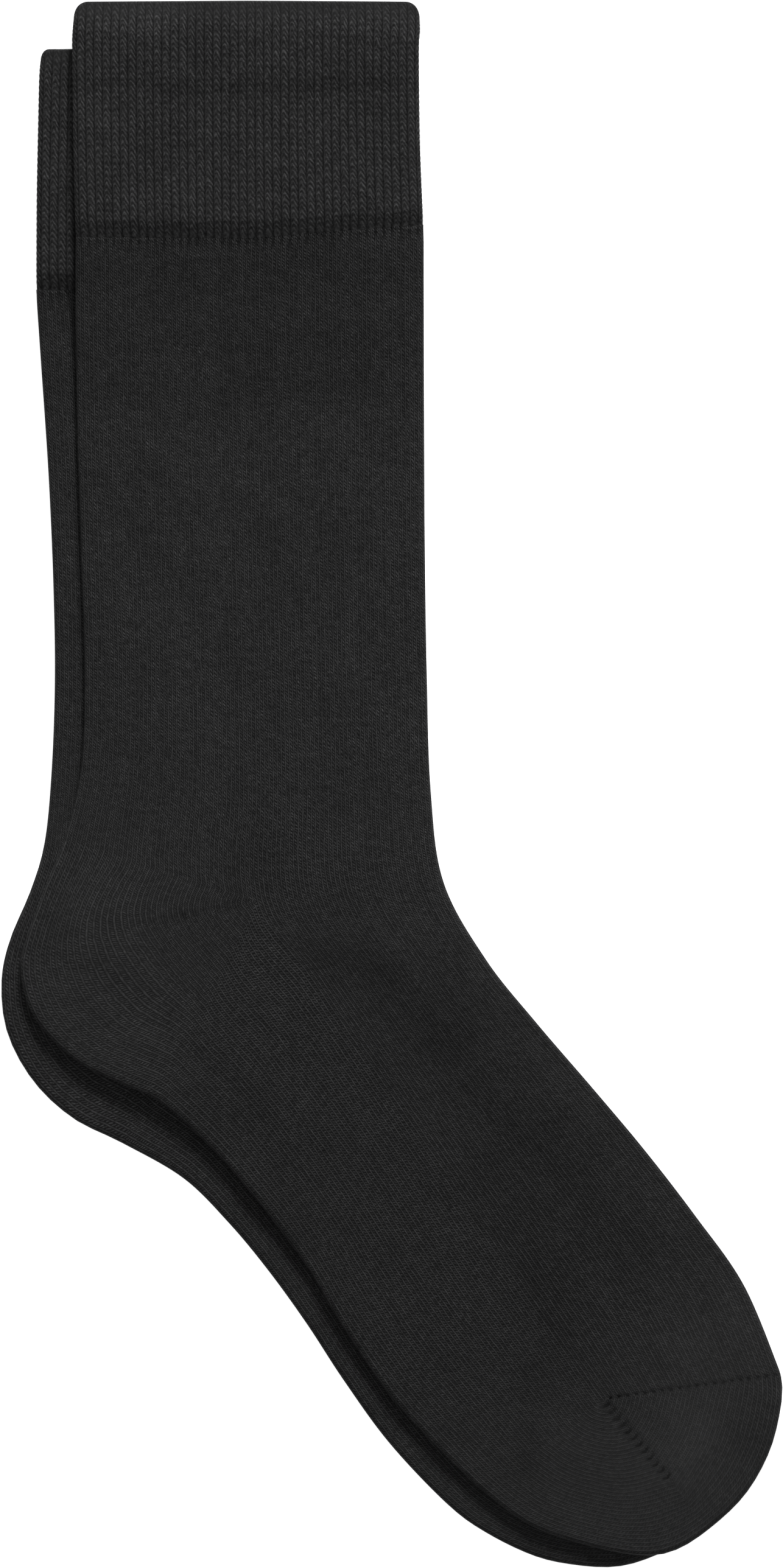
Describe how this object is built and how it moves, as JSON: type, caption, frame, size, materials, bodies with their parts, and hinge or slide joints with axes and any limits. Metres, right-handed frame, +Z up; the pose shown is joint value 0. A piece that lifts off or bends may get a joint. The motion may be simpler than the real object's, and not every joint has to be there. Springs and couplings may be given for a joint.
{
  "type": "pair of knitted crew socks",
  "caption": "Pair of plain dark knitted crew socks laid flat, one on the other, with a ribbed welt at the top, a shaped heel pocket and a linked toe.",
  "frame": {"origin": "on the surface that the pair lies on, under the centre of the pair's box", "axes": "+X across the leg towards the instep and toes, +Y up the leg towards the cuffs, +Z up from the surface"},
  "size_m": [0.2117, 0.4247, 0.0085],
  "materials": {
    "cuff_knit": "elastic welt, knitted in broad columns of stitches, matt charcoal cotton",
    "body_knit": "fine plain knit, matt charcoal cotton"
  },
  "bodies": {
    "root": {"top_sock_cuff": "cuff_knit", "top_sock_leg": "body_knit", "top_sock_heel": "body_knit", "top_sock_foot": "body_knit", "top_sock_toe": "body_knit", "lower_sock_cuff": "cuff_knit", "lower_sock_leg": "body_knit", "lower_sock_heel": "body_knit", "lower_sock_foot": "body_knit", "lower_sock_toe": "body_knit"}
  },
  "joints": []
}
